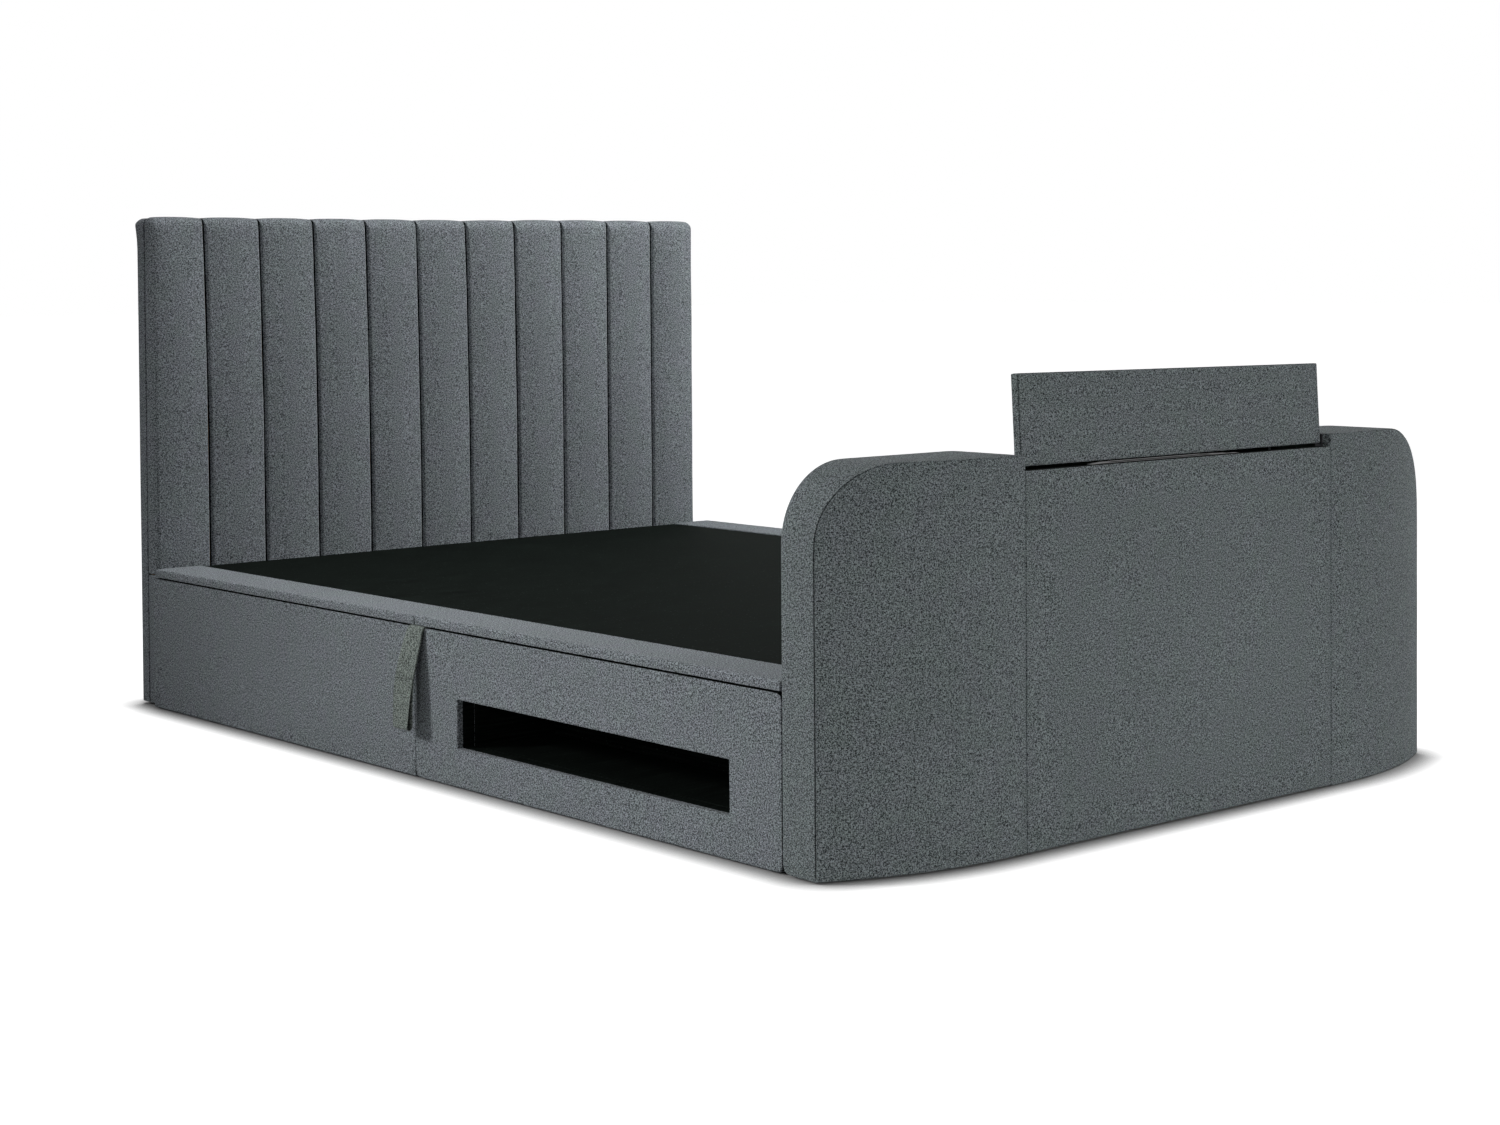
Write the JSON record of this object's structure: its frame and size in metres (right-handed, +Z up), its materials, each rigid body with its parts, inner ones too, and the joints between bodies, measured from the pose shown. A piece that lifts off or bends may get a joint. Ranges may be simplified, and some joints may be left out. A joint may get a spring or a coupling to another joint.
{
  "type": "upholstered storage bed",
  "caption": "Upholstered king-size bed with channelled headboard, side-lifting storage platform, media slot, and a bow-fronted footboard with a television lift under a hinged flap.",
  "frame": {"origin": "on the floor, in the middle of the bed's length and width, under the centre glide", "axes": "+Z up, +X across the bed towards the hinge side, +Y along the bed towards the headboard"},
  "size_m": [1.5813, 2.27, 1.055],
  "materials": {
    "headboard_fabric": "heathered slate weave",
    "rail_fabric": "heathered slate weave",
    "footboard_fabric": "heathered slate weave",
    "rim_fabric": "heathered slate weave",
    "black_fabric": "thin woven base cloth",
    "webbing": "doubled fabric strap",
    "board": "bare particle board",
    "frame_timber": "painted timber",
    "black_steel": "powder coat",
    "zinc_steel": "zinc plate",
    "strut_rod_steel": "polished",
    "black_plastic": "matte"
  },
  "bodies": {
    "root": {"headboard_back_shell": "headboard_fabric", "headboard_core_board": "board", "headboard_lower_panel": "headboard_fabric", "headboard_channel_01": "headboard_fabric", "headboard_channel_02": "headboard_fabric", "headboard_channel_03": "headboard_fabric", "headboard_channel_04": "headboard_fabric", "headboard_channel_05": "headboard_fabric", "headboard_channel_06": "headboard_fabric", "headboard_channel_07": "headboard_fabric", "headboard_channel_08": "headboard_fabric", "headboard_channel_09": "headboard_fabric", "headboard_channel_10": "headboard_fabric", "headboard_channel_11": "headboard_fabric", "side_rail_left_foot": "rail_fabric", "side_rail_left_head": "rail_fabric", "side_rail_right_foot": "rail_fabric", "side_rail_right_head": "rail_fabric", "rail_joint_plate_left": "zinc_steel", "rail_joint_plate_right": "zinc_steel", "corner_bracket_left_foot": "zinc_steel", "corner_bracket_left_head": "zinc_steel", "corner_bracket_right_foot": "zinc_steel", "corner_bracket_right_head": "zinc_steel", "media_shelf": "black_fabric", "storage_base": "black_fabric", "glide_foot_left": "black_plastic", "glide_foot_right": "black_plastic", "glide_head_left": "black_plastic", "glide_head_right": "black_plastic", "glide_centre": "black_plastic", "footboard_rear_panel": "footboard_fabric", "footboard_wing_left": "footboard_fabric", "footboard_wing_right": "footboard_fabric", "footboard_centre_panel": "footboard_fabric", "tv_bay_floor": "board", "tv_lift_frame": "black_steel", "tv_lift_motor": "black_plastic", "tv_lift_spindle": "zinc_steel", "tv_flap_pivot_left": "black_steel", "tv_flap_pivot_right": "black_steel", "platform_hinge_fixed_leaf": "zinc_steel", "platform_hinge_pin": "zinc_steel", "strut_bracket_foot": "zinc_steel", "strut_bracket_head": "zinc_steel"},
    "platform": {"platform_frame": "frame_timber", "platform_board": "black_fabric", "platform_rim_left": "rim_fabric", "platform_rim_right": "rim_fabric", "platform_hinge_moving_leaf": "zinc_steel", "pull_strap": "webbing"},
    "strut_cylinder_foot": {"strut_cylinder_foot": "black_plastic"},
    "strut_cylinder_head": {"strut_cylinder_head": "black_plastic"},
    "strut_rod_foot": {"strut_rod_foot": "strut_rod_steel"},
    "strut_rod_head": {"strut_rod_head": "strut_rod_steel"},
    "lift_carriage": {"tv_lift_carriage": "black_steel"},
    "lift_middle": {"tv_lift_middle_stage": "black_steel"},
    "lift_screen": {"tv_bracket": "black_steel"},
    "flap": {"tv_flap": "footboard_fabric"}
  },
  "joints": [
    {"name": "platform_hinge", "type": "hinge", "parent": "root", "child": "platform", "pos_m": [0.766, 0, 0.28125], "axis": [0, 1, 0], "range_deg": [0, 50]},
    {"name": "strut_foot_lower", "type": "hinge", "parent": "root", "child": "strut_cylinder_foot", "pos_m": [0.70645, -0.903, 0.059], "axis": [0, 1, 0], "range_deg": [0, 25]},
    {"name": "strut_head_lower", "type": "hinge", "parent": "root", "child": "strut_cylinder_head", "pos_m": [0.70645, 0.984, 0.059], "axis": [0, 1, 0], "range_deg": [0, 25]},
    {"name": "strut_foot_upper", "type": "hinge", "parent": "platform", "child": "strut_rod_foot", "pos_m": [0.53622, -0.903, 0.26921], "axis": [0, 1, 0], "range_deg": [-25, 0]},
    {"name": "strut_head_upper", "type": "hinge", "parent": "platform", "child": "strut_rod_head", "pos_m": [0.53622, 0.984, 0.26921], "axis": [0, 1, 0], "range_deg": [-25, 0]},
    {"name": "tv_lift_lower", "type": "slide", "parent": "root", "child": "lift_carriage", "axis": [0, 0, 1], "range_m": [-0.29, 0]},
    {"name": "tv_lift_upper", "type": "slide", "parent": "lift_carriage", "child": "lift_middle", "axis": [0, 0, 1], "range_m": [0, 0.145]},
    {"name": "tv_screen_slide", "type": "slide", "parent": "lift_middle", "child": "lift_screen", "axis": [0, 0, 1], "range_m": [0, 0.145]},
    {"name": "tv_flap_hinge", "type": "hinge", "parent": "root", "child": "flap", "pos_m": [0, -1.109, 0.623], "axis": [-1, 0, 0], "range_deg": [0, 87]}
  ],
  "couplings": [
    {"joint": "strut_foot_lower", "follows": "platform_hinge", "ratio": 0.5},
    {"joint": "strut_head_lower", "follows": "platform_hinge", "ratio": 0.5},
    {"joint": "strut_foot_upper", "follows": "platform_hinge", "ratio": -0.5},
    {"joint": "strut_head_upper", "follows": "platform_hinge", "ratio": -0.5},
    {"joint": "tv_screen_slide", "follows": "tv_lift_upper", "ratio": 1},
    {"joint": "tv_flap_hinge", "follows": "tv_lift_lower", "rad_per_m": -5.2359}
  ]
}
